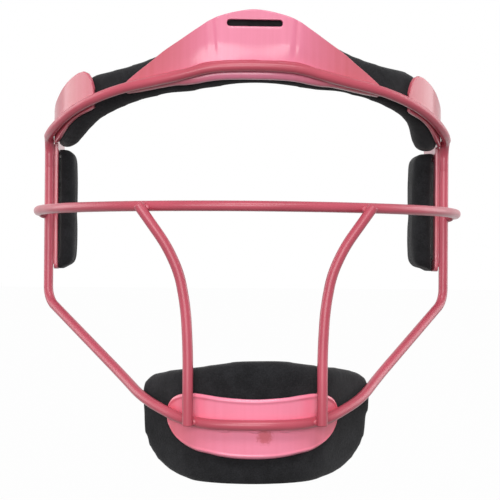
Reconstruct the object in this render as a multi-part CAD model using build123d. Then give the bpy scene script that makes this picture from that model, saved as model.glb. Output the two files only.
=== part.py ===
from build123d import *

import os
from math import cos, radians, sin, sqrt, tan

# A softball face guard: a cage of round steel wire with four sheet-steel plates welded to it, and four
# fabric-covered foam pads that pull off their hook patches. Lengths are millimetres, angles are degrees.
# X runs across the face, -Y points away from the face, and +Z is up. The origin is the middle of the
# wearer's head: halfway between the cage's two side runs, level with the eye bar.

# Cage wire
wire_size = 4.8
half_width = 102.5  # from the middle to the side runs
brow_reach = 70  # from the side runs forward to the brow
brow_height = 66.5  # from the eye bar up to the middle of the brow wire
corner_height = 37  # from the eye bar up to the temple corners
corner_bend = 9
butt_drop = 14  # from a temple corner down to the butt joint of the two perimeter wires
jaw_depth = 45  # from the eye bar down to the jaw corners
jaw_bend = 11
chin_depth = 98  # from the eye bar down to the chin run
chin_reach = 98  # from the side runs forward to the chin run
chin_radius_share = 0.5561  # of the half width, for the chin run seen from above
eye_reach = 97.6  # from the side runs forward to the eye bar
eye_bar_tail = 8  # the eye bar's end passes the side run by this
upright_foot = 30.1  # from the middle to an upright's lower end
lap_gap = 0.1  # between wires that cross, bridged by the weld

# Sheet plates
sheet_thickness = 1.9
seat_gap = 0.15  # between a plate and the wire welded to it
brow_lean = 9  # the forehead plate and pad lean back by this
chin_lean = 7  # the chin plate and pad lean out at the top by this
brow_plate_rise = 28  # above the wire's centreline
brow_plate_skirt = 5.7  # below the wire's centreline
tab_rise = 19
arm_skirt = 4.5
leg_width = 36
leg_length = 78.5
leg_top_slope = 11
leg_heel = 22  # cut off the lower back corner
leg_corner_bend = 9
leg_toe_bend = 2.5
leg_below_eye = 29.5
chin_plate_rise = 13.7
chin_plate_skirt = 15.2
strap_slot_length = 27.5
strap_slot_width = 3.2
brow_slot_margin = 6.7  # from the plate's top edge to the slot's centreline
leg_slot_margin = 6  # from the leg's back edge to the slot's centreline

# Welds
lap_bead_share = 0.75  # of the wire's size
tack_share = 0.5  # of the wire's radius
tack_length = 9
chin_tack_length = 5  # short, because the wire bends there
seam_rise_share = 1.9  # of the wire's radius
seam_root_share = 0.35
seam_crest_share = 0.4
seam_crest_height_share = 0.85

# Hook patches and pads
patch_thickness = 1
glue_gap = 0.08
pad_gap = 0.5
cover_thickness = 0.9
foam_gap = 0.25
forehead_pad_thickness = 10
forehead_pad_rise = 24.5
forehead_pad_skirt = 6.6
cheek_pad_thickness = 10.4
cheek_pad_width = 25
cheek_pad_front = 1  # behind the side runs
cheek_pad_top = 32.2
cheek_pad_length = 59.5
chin_pad_thickness = 12
chin_pad_rise = 27.6
chin_pad_skirt = 28
cheek_patch_margin = 4
corner_round_share = 0.46  # of a pad's thickness

# The brow wire's height at each angle round the brow, as a share from the temple corner up to the middle
brow_step = 8
brow_wire_shares = [
    (4, 1.0), (12, 0.976), (20, 0.854), (28, 0.77), (36, 0.70), (44, 0.603),
    (52, 0.49), (60, 0.36), (68, 0.217), (76, 0.108), (83.5, 0.047), (90, 0.0),
]
# Rise and skirt of each sheet at angles round its curve
brow_plate_shares = [
    (0, 1.0, 1.0), (4.7, 0.965, 1.0), (9.5, 0.896, 1.0), (12, 0.85, 1.0), (15, 0.78, 0.95),
    (18, 0.718, 0.82), (22, 0.62, 0.6), (26, 0.51, 0.53), (30, 0.37, 0.5), (34, 0.24, 0.47),
    (37.5, 0.125, 0.37),
]
arm_shares = [
    (51.2, 0.51, 0.62), (52, 0.66, 0.71), (53.5, 0.82, 0.69), (55.5, 0.93, 0.64), (58.5, 0.98, 0.53),
    (62, 0.98, 0.51), (66, 1.0, 0.58), (70, 0.96, 0.82), (74, 0.91, 1.0), (80, 0.83, 0.95), (85, 0.73, 0.71),
    (90, 0.632, 0.45),
]
chin_plate_shares = [
    (0, 0.83, 1.0), (8, 0.85, 0.99), (16, 0.89, 0.95), (24, 0.96, 0.88), (30, 1.0, 0.82),
    (36, 0.95, 0.71), (40, 0.80, 0.585), (43, 0.60, 0.395), (45, 0.33, 0.13),
]
# Rise, skirt and thickness of each pad at angles round its curve
forehead_pad_shares = [
    (0, 1.0, 0.83, 1.0), (12, 0.865, 1.0, 1.0), (18, 0.775, 0.76, 1.0), (25, 0.70, 0.42, 1.0),
    (33, 0.596, 0.39, 1.0), (40, 0.567, 0.41, 1.0), (48, 0.63, 0.44, 1.0), (55, 0.706, 0.48, 1.0),
    (60, 0.714, 0.59, 1.0), (67, 0.714, 0.77, 1.0), (75, 0.63, 0.85, 1.0), (83, 0.465, 0.76, 0.9),
    (88, 0.36, 0.58, 0.75), (90, 0.26, 0.34, 0.45),
]
chin_pad_shares = [
    (0, 1.0, 1.0, 1.0), (12, 0.99, 0.99, 1.0), (24, 0.94, 0.965, 1.0), (34, 0.885, 0.92, 1.0),
    (45, 0.835, 0.85, 1.0), (53, 0.775, 0.76, 1.0), (60, 0.705, 0.625, 1.0), (65, 0.635, 0.445, 0.95),
    (68, 0.53, 0.27, 0.75), (69.5, 0.42, 0.12, 0.45),
]
# Height, thickness and width of a cheek pad, from its foot to its top
cheek_pad_shares = [
    (0, 0.45, 0.8), (0.03, 0.75, 0.92), (0.1, 0.96, 0.99), (0.22, 1.0, 1.0), (0.36, 0.99, 1.0),
    (0.46, 0.94, 1.0), (0.56, 0.99, 1.0), (0.74, 1.0, 1.0), (0.9, 0.96, 0.99), (0.97, 0.75, 0.92),
    (1, 0.45, 0.8),
]
# How far round the hook patches reach, and how much of the plate's rise or skirt they take
brow_patch_angle = 30
brow_patch_share = 0.55
chin_patch_angle = 40
chin_patch_share = 0.55
# The jaw wire's turn on the way from the jaw corner to the chin curve: across, forward and down
jaw_turn_shares = (0.794, 0.733, 0.796)
chin_landing_angle = 60  # where the jaw wire comes onto the chin curve
chin_wire_angles = [36.5, 22, 7.5]
# The chin run's rise at angles round the chin, as a share of the drop from the jaw
chin_rise_shares = [(22, 0.0), (36.5, 0.035), (60, 0.17)]
chin_bend_angle = 45  # past this the chin curve runs straight
eye_bar_angles = [77, 63, 49, 35, 21, 7]
# An upright's sideways swing and its drop, from its head on the eye bar to its foot on the chin run
upright_shares = [(1.0, 0.0), (0.48, 0.173), (0.21, 0.306), (0.07, 0.47), (0.01, 0.67), (0.0, 1.0)]
upright_foot_overrun_share = 0.35  # of the wire's size
longest_arc_share = 0.45  # of the shorter run beside it

wire_radius = wire_size / 2
chin_radius = half_width * chin_radius_share
plate_front = wire_radius + seat_gap
plate_back = plate_front + sheet_thickness
patch_front = plate_back + glue_gap
patch_back = patch_front + patch_thickness
pad_front = patch_back + pad_gap
up = Vector(0, 0, 1)


def both_sides(rows):
    """Rows of a symmetric table, from the left end to the right end."""
    return [(-angle, *rest) for angle, *rest in reversed(rows) if angle] + rows


def share_at(rows, angle):
    """The second column of a table, read off in a straight line between two rows."""
    angle = min(max(abs(angle), rows[0][0]), rows[-1][0])
    for before, after in zip(rows, rows[1:]):
        if angle <= after[0]:
            part = (angle - before[0]) / (after[0] - before[0])
            return before[1] + part * (after[1] - before[1])


def mirror_x(shape):
    """The same piece on the other side of the face."""
    return mirror(shape, about=Plane.YZ)


# Curves that the cage and its plates follow, seen from above


def brow_curve(angle):
    """A point of the brow's half ellipse and the direction straight inwards from it."""
    a = radians(angle)
    point = Vector(half_width * sin(a), -brow_reach * cos(a), 0)
    outward = Vector(sin(a) / half_width, -cos(a) / brow_reach, 0).normalized()
    return point, -outward


def chin_curve(angle):
    """A point of the chin's arc, which runs out straight at both ends, and the direction inwards."""
    side = 1 if angle >= 0 else -1
    a = radians(side * min(abs(angle), chin_bend_angle))
    straight = chin_radius * radians(max(abs(angle) - chin_bend_angle, 0))
    outward = Vector(sin(a), -cos(a), 0)
    along = Vector(cos(a), sin(a), 0) * side
    centre = Vector(0, chin_radius - chin_reach, 0)
    return centre + outward * chin_radius + along * straight, -outward


def brow_wire_height(angle):
    return corner_height + (brow_height - corner_height) * share_at(brow_wire_shares, angle)


def brow_slope(angle):
    return tan(radians(brow_lean)) * cos(radians(angle))


def chin_slope(angle):
    return -tan(radians(chin_lean))


def chin_run_height(angle):
    return -chin_depth + (chin_depth - jaw_depth) * share_at(chin_rise_shares, angle)


def chin_base(angle):
    return -chin_depth


# Builders shared by several pieces


def bent_wire(points, fixed_bends={}):
    """Round wire along straight runs, with each bend as large as its two runs allow unless it is fixed."""
    last = len(points) - 1
    turns = {}
    for i in range(1, last):
        turns[i] = radians((points[i] - points[i - 1]).get_angle(points[i + 1] - points[i]))
    taken = {i: bend * tan(turns[i] / 2) for i, bend in fixed_bends.items()}
    radii = []
    for i in range(1, last):
        before = (points[i] - points[i - 1]).length - taken.get(i - 1, 0)
        after = (points[i + 1] - points[i]).length - taken.get(i + 1, 0)
        room = longest_arc_share * min(before, after)
        radii.append(fixed_bends.get(i, room / tan(turns[i] / 2)))
    path = FilletPolyline(*points, radius=radii)
    start = Plane(origin=path @ 0, z_dir=path % 0)
    return sweep(start * Circle(wire_radius), path=path)


def sheet(curve, slope, level, rows, front, back):
    """A bent sheet: four-cornered sections on a curve, each from its low edge to its high edge."""
    sections = []
    for angle, low, high in rows:
        point, inward = curve(angle)
        corners = []
        for inset, height in ((front, low), (front, high), (back, high), (back, low)):
            lean = (height - level(angle)) * slope(angle)
            corners.append(point + inward * (inset + lean) + up * height)
        sections.append(make_face(Polyline(*corners, close=True)))
    return loft(sections, ruled=True)


def pad_body(curve, slope, level, base, rows, rise, skirt, thickness, inset):
    """A cushion along a curve: rounded sections, drawn in all round by the inset."""
    sections = []
    last = rows[-1][0]
    end_step = (curve(last)[0] - curve(last - 1)[0]).length
    for angle, rise_share, skirt_share, thickness_share in rows:
        point, inward = curve(angle * (1 - inset / (last * end_step)))
        depth = thickness * thickness_share
        high = rise * rise_share
        low = -skirt * skirt_share
        middle = (high + low) / 2
        lean = slope(angle)
        upward = (up + inward * lean).normalized()
        across = (inward - up * lean).normalized()
        height = base(angle) + middle
        centre = point + inward * (pad_front + depth / 2 + (height - level(angle)) * lean) + up * height
        plane = Plane(origin=centre, x_dir=across, z_dir=across.cross(upward))
        width = depth - 2 * inset
        length = high - low - 2 * inset
        sections.append(plane * RectangleRounded(width, length, corner_round_share * width))
    return loft(sections)


def cheek_body(inset):
    """A cushion that stands on end against a side plate's leg."""
    sections = []
    length = cheek_pad_length - 2 * inset
    for height_share, thickness_share, width_share in cheek_pad_shares:
        depth = cheek_pad_thickness * thickness_share - 2 * inset
        width = cheek_pad_width * width_share - 2 * inset
        outer = half_width - pad_front - inset
        height = cheek_pad_top - cheek_pad_length + inset + length * height_share
        middle = Vector(outer - depth / 2, cheek_pad_front + cheek_pad_width / 2, height)
        plane = Plane(origin=middle, z_dir=up, x_dir=(1, 0, 0))
        sections.append(plane * RectangleRounded(depth, width, corner_round_share * depth))
    return loft(sections)


def cover_and_foam(body):
    """A pad's fabric cover and the foam inside it."""
    return body(0) - body(cover_thickness), body(cover_thickness + foam_gap)


def lap_weld(place, *wires):
    """A weld where two wires cross: a drop of metal cut to fit them."""
    drop = Pos(place) * Sphere(wire_size * lap_bead_share)
    for wire in wires:
        drop = drop - wire
    return drop


def tack_weld(middle, inward, beside, length):
    """A short bead in the corner between a wire and the plate behind it, along the wire."""
    radius = wire_radius * tack_share
    inset = plate_front - radius - glue_gap
    aside = sqrt((wire_radius + radius + glue_gap) ** 2 - inset**2)
    along = inward.cross(beside).normalized()
    centre = middle + inward * inset + beside.normalized() * aside
    plane = Plane(origin=centre, x_dir=along, z_dir=inward)
    half = plane * SlotOverall(length, 2 * radius)
    half = split(half, bisect_by=Plane(origin=centre, z_dir=beside))
    return revolve(half, axis=Axis(centre, along))


# The cage


def make_brow_wire():
    out_share = 1 / cos(radians(brow_step / 2))
    half = []
    for angle, share in reversed(brow_wire_shares[:-1]):
        point, inward = brow_curve(angle)
        half.append(point * out_share + up * brow_wire_height(angle))
    corner = Vector(half_width, 0, corner_height)
    half = [corner - up * butt_drop, corner] + half
    left = [Vector(-p.X, p.Y, p.Z) for p in reversed(half)]
    points = half + left
    return bent_wire(points, {1: corner_bend, len(points) - 2: corner_bend})


def jaw_wire_points():
    """The right half of the jaw wire's route, from its butt joint to the chin."""
    corner = Vector(half_width, 0, -jaw_depth)
    landing = chin_curve(chin_landing_angle)[0] + up * chin_run_height(chin_landing_angle)
    way = landing - corner
    across, forward, down = jaw_turn_shares
    turn = corner + Vector(way.X * across, way.Y * forward, way.Z * down)
    half = [corner + up * (corner_height - butt_drop + jaw_depth), corner, turn, landing]
    out_share = 1 / cos(radians(chin_wire_angles[1] - chin_wire_angles[2]) / 2)
    centre = Vector(0, chin_radius - chin_reach, 0)
    for angle in chin_wire_angles:
        a = radians(angle)
        outward = Vector(sin(a), -cos(a), 0)
        half.append(centre + outward * chin_radius * out_share + up * chin_run_height(angle))
    return half


def make_jaw_wire():
    half = jaw_wire_points()
    left = [Vector(-p.X, p.Y, p.Z) for p in reversed(half)]
    points = half + left
    return bent_wire(points, {1: jaw_bend, len(points) - 2: jaw_bend})


def eye_bar_points():
    """The right half of the eye bar's route, from its end to the middle."""
    out = half_width + wire_size + lap_gap
    half = [Vector(out, eye_bar_tail, 0), Vector(out, -eye_bar_tail, 0)]
    out_share = 1 / cos(radians(eye_bar_angles[0] - eye_bar_angles[1]) / 2)
    for angle in eye_bar_angles:
        a = radians(angle)
        half.append(Vector(out * sin(a), -eye_reach * cos(a) * out_share, 0))
    return half


def make_eye_bar():
    half = eye_bar_points()
    left = [Vector(-p.X, p.Y, p.Z) for p in reversed(half)]
    return bent_wire(half + left)


def lap(start, end, across):
    """Where a wire laps another in front: the middle of the run from start to end, and the way forward."""
    forward = (end - start).cross(across).normalized()
    if forward.Y > 0:
        forward = -forward
    return (start + end) / 2, forward


def upright_laps():
    """The two places where the right upright laps the eye bar and the chin run."""
    swing = half_width / 2 - upright_foot
    swing_share = upright_shares[0][0] - upright_shares[1][0]
    top_slant = Vector(swing * swing_share, 0, chin_depth * upright_shares[1][1])
    eye = eye_bar_points()
    chin = jaw_wire_points()
    return lap(eye[-3], eye[-2], top_slant), lap(chin[-3], chin[-2], up)


def make_upright():
    (head_run, head_way), (foot_run, foot_way) = upright_laps()
    head = head_run + head_way * (wire_size + lap_gap)
    foot = foot_run + foot_way * (wire_size + lap_gap)
    points = []
    for swing, drop in upright_shares:
        x = foot.X + (head.X - foot.X) * swing
        points.append(Vector(x, head.Y + (foot.Y - head.Y) * drop, head.Z + (foot.Z - head.Z) * drop))
    points[0] = points[0] + (points[0] - points[1]).normalized() * wire_radius
    points[-1] = points[-1] - up * wire_size * upright_foot_overrun_share
    return bent_wire(points)


# The plates


def brow_rows(shares, rise, skirt):
    rows = []
    for angle, rise_share, skirt_share in shares:
        level = brow_wire_height(angle)
        rows.append((angle, level - skirt * skirt_share, level + rise * rise_share))
    return rows


def make_brow_plate():
    rows = both_sides(brow_rows(brow_plate_shares, brow_plate_rise, brow_plate_skirt))
    plate = sheet(brow_curve, brow_slope, brow_wire_height, rows, plate_front, plate_back)
    slot_height = brow_height + brow_plate_rise - brow_slot_margin
    slot = Pos(0, -brow_reach, slot_height) * extrude(
        Plane.XZ * SlotOverall(strap_slot_length, strap_slot_width), amount=brow_reach / 2, both=True
    )
    return plate - slot


def make_side_plate():
    """The right side plate: an arm that follows the temple, with its tab, and a flat leg beside the cheek."""
    rows = brow_rows(arm_shares, tab_rise, arm_skirt)
    arm = sheet(brow_curve, lambda angle: 0, brow_wire_height, rows, plate_front, plate_back)
    leg_top = leg_length - leg_below_eye
    outline = FilletPolyline(
        (0, -leg_below_eye),
        (0, leg_top),
        (leg_width, leg_top - leg_top_slope),
        (leg_width, -leg_below_eye + leg_heel),
        (leg_width - leg_heel, -leg_below_eye),
        radius=(leg_toe_bend, 0, leg_corner_bend, leg_corner_bend, leg_corner_bend),
        close=True,
    )
    face = make_face(outline)
    leg_plane = Plane(origin=(half_width - plate_back, 0, 0), x_dir=(0, 1, 0), z_dir=(1, 0, 0))
    leg = extrude(leg_plane * face, amount=sheet_thickness)
    slot_place = (half_width, leg_width - leg_slot_margin, 0)
    slot_plane = Plane(origin=slot_place, x_dir=(0, 0, 1), z_dir=(1, 0, 0))
    slot_face = slot_plane * SlotOverall(strap_slot_length, strap_slot_width)
    slot = extrude(slot_face, amount=plate_back + pad_gap, both=True)
    return arm + leg - slot


def chin_rows(shares, rise, skirt):
    return [(angle, -chin_depth - skirt * low, -chin_depth + rise * high) for angle, high, low in shares]


def make_chin_plate():
    rows = both_sides(chin_rows(chin_plate_shares, chin_plate_rise, chin_plate_skirt))
    return sheet(chin_curve, chin_slope, chin_run_height, rows, plate_front, plate_back)


# The hook patches


def make_brow_patch():
    shares = [row for row in brow_plate_shares if row[0] <= brow_patch_angle]
    rows = []
    for angle, rise_share, skirt_share in shares:
        level = brow_wire_height(angle)
        rows.append((angle, level, level + brow_plate_rise * rise_share * brow_patch_share))
    return sheet(brow_curve, brow_slope, brow_wire_height, both_sides(rows), patch_front, patch_back)


def make_side_patch():
    """A flat patch on the inside of the right leg."""
    width = cheek_pad_width - 2 * cheek_patch_margin
    height = cheek_pad_length - 2 * cheek_patch_margin
    middle = Vector(
        half_width - (patch_front + patch_back) / 2,
        cheek_pad_front + cheek_pad_width / 2,
        cheek_pad_top - cheek_pad_length / 2,
    )
    return Pos(middle) * Box(patch_thickness, width, height)


def make_chin_patch():
    rows = []
    for angle, high, low in chin_plate_shares:
        if angle <= chin_patch_angle:
            top = -chin_depth + chin_plate_rise * high * chin_patch_share
            rows.append((angle, -chin_depth - chin_plate_skirt * low * chin_patch_share, top))
    return sheet(chin_curve, chin_slope, chin_run_height, both_sides(rows), patch_front, patch_back)


# The pads


def forehead_body(inset):
    return pad_body(
        brow_curve, brow_slope, brow_wire_height, brow_wire_height, both_sides(forehead_pad_shares),
        forehead_pad_rise, forehead_pad_skirt, forehead_pad_thickness, inset,
    )


def chin_body(inset):
    return pad_body(
        chin_curve, chin_slope, chin_run_height, chin_base, both_sides(chin_pad_shares),
        chin_pad_rise, chin_pad_skirt, chin_pad_thickness, inset,
    )


# The welds


def make_brow_seam(brow_wire):
    """The long bead that fills the corner between the brow wire and the front of its plate."""
    sections = []
    for angle, *rest in both_sides(brow_plate_shares):
        point, inward = brow_curve(angle)
        level = brow_wire_height(angle)
        face = plate_front - glue_gap
        corners = []
        for inset, lift in (
            (-seam_crest_share * wire_radius, seam_crest_height_share * wire_radius),
            (face, seam_rise_share * wire_radius),
            (face, seam_root_share * wire_radius),
            (-seam_crest_share * wire_radius, seam_root_share * wire_radius),
        ):
            corners.append(point + inward * (inset + lift * brow_slope(angle)) + up * (level + lift))
        sections.append(make_face(Polyline(*corners, close=True)))
    return loft(sections, ruled=True) - brow_wire


brow_wire = make_brow_wire()
jaw_wire = make_jaw_wire()
eye_bar = make_eye_bar()
right_upright = make_upright()
left_upright = mirror_x(right_upright)
brow_plate = make_brow_plate()
right_side_plate = make_side_plate()
chin_plate = make_chin_plate()

side_weld = lap_weld(Vector(half_width + (wire_size + lap_gap) / 2, 0, 0), jaw_wire, eye_bar)
upright_welds = []
for run, way in upright_laps():
    place = run + way * (wire_size + lap_gap) / 2
    upright_welds.append(lap_weld(place, jaw_wire, eye_bar, right_upright))
leg_tacks = []
for height in (corner_height - butt_drop, -leg_below_eye + leg_corner_bend):
    middle = Vector(half_width, 0, height)
    leg_tacks.append(tack_weld(middle, Vector(-1, 0, 0), Vector(0, 1, 0), tack_length))
chin_tacks = []
chin_ends = jaw_wire_points()[-2:]
chin_ends.append(Vector(-chin_ends[-1].X, chin_ends[-1].Y, chin_ends[-1].Z))
for start, end in zip(chin_ends, chin_ends[1:]):
    middle, forward = lap(start, end, up)
    down = -up + forward * chin_slope(0)
    inward = -forward - up * chin_slope(0)
    chin_tacks.append(tack_weld(middle, inward.normalized(), down, chin_tack_length))
chin_tacks.append(mirror_x(chin_tacks[0]))

parts = {
    "brow_wire": brow_wire,
    "jaw_wire": jaw_wire,
    "eye_bar": eye_bar,
    "right_upright": right_upright,
    "left_upright": left_upright,
    "brow_plate": brow_plate,
    "right_side_plate": right_side_plate,
    "left_side_plate": mirror_x(right_side_plate),
    "chin_plate": chin_plate,
    "brow_seam_weld": make_brow_seam(brow_wire),
    "eye_bar_welds": Part() + [side_weld, mirror_x(side_weld)],
    "upright_welds": Part() + upright_welds + [mirror_x(weld) for weld in upright_welds],
    "side_plate_welds": Part() + leg_tacks + [mirror_x(weld) for weld in leg_tacks],
    "chin_plate_welds": Part() + chin_tacks,
    "brow_hook_patch": make_brow_patch(),
    "right_side_hook_patch": make_side_patch(),
    "left_side_hook_patch": mirror_x(make_side_patch()),
    "chin_hook_patch": make_chin_patch(),
}
parts["forehead_pad_cover"], parts["forehead_pad_foam"] = cover_and_foam(forehead_body)
parts["chin_pad_cover"], parts["chin_pad_foam"] = cover_and_foam(chin_body)
cheek_cover, cheek_foam = cover_and_foam(cheek_body)
parts["right_cheek_pad_cover"], parts["right_cheek_pad_foam"] = cheek_cover, cheek_foam
parts["left_cheek_pad_cover"], parts["left_cheek_pad_foam"] = mirror_x(cheek_cover), mirror_x(cheek_foam)

os.makedirs("parts", exist_ok=True)
for name, part in parts.items():
    export_step(part, f"parts/{name}.step")
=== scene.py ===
# %% [markdown]
# A softball face guard, dressed. The cage is round steel wire, and pressed steel plates are welded to it at
# the brow, the temples and the chin. All of it wears one thick pink powder coat. Four foam pads in black
# brushed cloth sit inside. The measured model gives every piece its size and place, so this lesson only
# gives each one the surface and the finish that a camera sees. All lengths are metres.

import bmesh
import bpy
import numpy as np
from mathutils import Matrix, Vector


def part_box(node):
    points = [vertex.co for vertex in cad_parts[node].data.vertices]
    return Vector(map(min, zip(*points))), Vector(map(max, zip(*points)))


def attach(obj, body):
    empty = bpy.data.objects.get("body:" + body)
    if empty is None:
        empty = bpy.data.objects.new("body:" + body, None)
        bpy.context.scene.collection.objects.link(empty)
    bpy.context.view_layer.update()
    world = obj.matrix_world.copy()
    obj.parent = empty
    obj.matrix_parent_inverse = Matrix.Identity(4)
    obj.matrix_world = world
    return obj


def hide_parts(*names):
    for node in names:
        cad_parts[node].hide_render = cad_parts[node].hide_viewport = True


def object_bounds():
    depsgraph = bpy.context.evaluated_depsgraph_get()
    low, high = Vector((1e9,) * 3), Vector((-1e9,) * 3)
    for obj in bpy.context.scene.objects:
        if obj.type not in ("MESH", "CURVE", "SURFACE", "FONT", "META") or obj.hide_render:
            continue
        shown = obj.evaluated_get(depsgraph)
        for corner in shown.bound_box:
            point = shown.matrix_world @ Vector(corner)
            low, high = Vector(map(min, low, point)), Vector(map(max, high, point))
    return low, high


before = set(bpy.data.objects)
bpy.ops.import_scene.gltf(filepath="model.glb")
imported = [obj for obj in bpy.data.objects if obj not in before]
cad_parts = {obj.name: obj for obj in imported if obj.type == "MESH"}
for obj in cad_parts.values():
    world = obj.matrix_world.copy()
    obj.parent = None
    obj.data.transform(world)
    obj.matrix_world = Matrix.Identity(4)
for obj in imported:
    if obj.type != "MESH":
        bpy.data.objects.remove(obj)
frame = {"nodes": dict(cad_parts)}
cad_low, cad_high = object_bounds()
nodes = frame["nodes"]
print("model", [round(v, 4) for v in cad_low], [round(v, 4) for v in cad_high])

# %% [markdown]
# The guard hangs together from a few sizes: the wire, the half width between the two side runs, and how far
# the brow and the chin stand out. Most can be read back from the boxes of the measured wires, so the new
# surfaces land on them without fitting.

# %% Sizes read from the cage
millimetre = 0.001
wire_radius = 2.4 * millimetre
half_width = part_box("jaw_wire")[1].x - wire_radius
brow_reach = -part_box("brow_wire")[0].y - wire_radius
brow_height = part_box("brow_wire")[1].z - wire_radius
chin_depth = -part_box("jaw_wire")[0].z - wire_radius
chin_reach = -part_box("jaw_wire")[0].y - wire_radius
chin_radius = 0.5561 * half_width
corner_height = 37 * millimetre
jaw_depth = 45 * millimetre
sheet_thickness = 1.9 * millimetre
seat_gap = 0.15 * millimetre
plate_front = wire_radius + seat_gap
plate_back = plate_front + sheet_thickness
print("half width", round(half_width, 4), "brow", round(brow_reach, 4), "chin", round(chin_reach, 4))

# %% [markdown]
# Every sheet and pad follows one of two lines seen from above. The brow line is half an ellipse from temple
# to temple. The chin line is an arc that runs out straight. Each function takes an array of angles and
# gives points and the direction straight inwards, towards the wearer, so a whole surface is one sum.


# %% Lines that the plates and pads follow
def unit(vectors):
    """Vectors divided by their own length."""
    return vectors / np.linalg.norm(vectors, axis=-1, keepdims=True)


def brow_curve(angle):
    """Half ellipse: x is the half width times the sine, y is minus the reach times the cosine."""
    zero = np.zeros_like(angle)
    point = np.stack([half_width * np.sin(angle), -brow_reach * np.cos(angle), zero], -1)
    inward = np.stack([-np.sin(angle) / half_width, np.cos(angle) / brow_reach, zero], -1)
    return point, unit(inward)


def chin_curve(angle):
    """A circle's arc up to the bend angle, then a straight line on along its tangent."""
    bend = np.radians(45)
    side = np.sign(angle)
    held = np.clip(angle, -bend, bend)
    beyond = chin_radius * np.maximum(np.abs(angle) - bend, 0) * side
    zero = np.zeros_like(angle)
    outward = np.stack([np.sin(held), -np.cos(held), zero], -1)
    along = np.stack([np.cos(held), np.sin(held), zero], -1)
    centre = np.array([0, chin_radius - chin_reach, 0])
    return centre + outward * chin_radius + along * beyond[..., None], -outward


def smooth_through(x, table):
    """Reads a table of rows (station, value, ...) at x, even in x, along cubic pieces with shared slopes."""
    rows = np.array(table, float)
    rows = np.concatenate([rows[:0:-1] * np.r_[-1, np.ones(rows.shape[1] - 1)], rows])
    stations, values = rows[:, 0], rows[:, 1:]
    gap = np.diff(stations)
    rate = np.diff(values, axis=0) / gap[:, None]
    inner = (rate[:-1] * gap[1:, None] + rate[1:] * gap[:-1, None]) / (gap[:-1] + gap[1:])[:, None]
    slope = np.concatenate([rate[:1], inner, rate[-1:]])
    at = np.clip(np.searchsorted(stations, x) - 1, 0, len(gap) - 1)
    t = np.clip((x - stations[at]) / gap[at], 0, 1)[:, None]
    step = gap[at][:, None]
    start = (1 + 2 * t) * (1 - t) ** 2 * values[at] + t * (1 - t) ** 2 * step * slope[at]
    end = t**2 * (3 - 2 * t) * values[at + 1] + t**2 * (t - 1) * step * slope[at + 1]
    return (start + end).T


def ease(t):
    """0 below 0, 1 above 1, and a smooth step between."""
    t = np.clip(t, 0, 1)
    return t * t * (3 - 2 * t)


brow_wire_shares = [
    (0, 1), (4, 1), (12, 0.972), (20, 0.857), (28, 0.771), (36, 0.699), (44, 0.602),
    (52, 0.489), (60, 0.358), (68, 0.22), (76, 0.11), (83.5, 0.047), (90, 0),
]
chin_rise_shares = [(0, 0), (22, 0), (36.5, 0.035), (60, 0.17)]


def brow_level(degrees):
    """The height of the brow wire's centre at each angle."""
    return corner_height + (brow_height - corner_height) * smooth_through(degrees, brow_wire_shares)[0]


def chin_level(degrees):
    """The height of the chin run's centre at each angle."""
    return -chin_depth + (chin_depth - jaw_depth) * smooth_through(degrees, chin_rise_shares)[0]


def beside(curve, angle, depth, lift):
    """Points beside a line: its own points, plus inward times the depth, raised by the lift."""
    point, inward = curve(angle)
    spot = point[:, None, :] + inward[:, None, :] * depth[..., None]
    spot[..., 2] += lift
    return spot


# %% [markdown]
# A Blender mesh is a list of points and a list of faces. A grid of points needs only one rule for its faces,
# so every piece here is made by filling arrays and handing them over once. Doubled points are merged
# afterwards, which closes seams and turns the ends of a slot into real corners.


# %% Turn arrays into a piece
merge_distance = 0.005 * millimetre


def grid_faces(columns, rows):
    """Four corners of each cell of a grid, as point numbers. The last row meets the first."""
    number = np.arange(columns * rows).reshape(columns, rows)
    number = np.concatenate([number, number[:, :1]], axis=1)
    corners = [number[:-1, :-1], number[1:, :-1], number[1:, 1:], number[:-1, 1:]]
    return np.stack(corners, -1).reshape(-1, 4)


def shown(name, data):
    """A new object in the scene that shows this mesh, lamp or camera."""
    thing = bpy.data.objects.new(name, data)
    bpy.context.scene.collection.objects.link(thing)
    return thing


def make_piece(name, points, faces, caps=()):
    """A smooth-shaded mesh object at the origin from points, four-cornered faces and end caps."""
    mesh = bpy.data.meshes.new(name)
    mesh.from_pydata(points.reshape(-1, 3).tolist(), [], faces.tolist() + [list(cap) for cap in caps])
    work = bmesh.new()
    work.from_mesh(mesh)
    bmesh.ops.remove_doubles(work, verts=work.verts, dist=merge_distance)
    loose = [v for v in work.verts if not v.link_faces]
    bmesh.ops.delete(work, geom=loose, context="VERTS")
    bmesh.ops.recalc_face_normals(work, faces=work.faces)
    work.to_mesh(mesh)
    work.free()
    mesh.shade_smooth()
    print(name, len(mesh.vertices), "points")
    return shown(name, mesh)


def closed_piece(name, spot):
    """A piece from a grid of loops, with its first and its last loop as the two faces that close it."""
    columns, rows = spot.shape[:2]
    caps = [np.arange(rows), np.arange(rows) + (columns - 1) * rows]
    return make_piece(name, spot, grid_faces(columns, rows), caps)


def wear(piece, finish):
    """Gives a piece one finish in place of all others."""
    piece.data.materials.clear()
    piece.data.materials.append(finish)


def settle(piece, body, slot_name, finish, *replaced):
    """Gives a piece its body and its finish, and hides the solids that it stands for. Its slot name is not
    used.
    """
    wear(piece, finish)
    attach(piece, body)
    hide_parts(*replaced)


def mirrored(piece, name):
    """The same piece on the other side: x changes sign and every face is turned round."""
    mesh = piece.data.copy()
    place = np.empty(len(mesh.vertices) * 3)
    mesh.vertices.foreach_get("co", place)
    place[0::3] *= -1
    mesh.vertices.foreach_set("co", place)
    mesh.flip_normals()
    return shown(name, mesh)


# %% [markdown]
# Shader maths reads best as plain sums. This small class wraps a socket, so that `1 - mask` or
# `grain * 0.3 + 0.2` adds the Math nodes by itself. Any other kind of node comes from one method.


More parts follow.
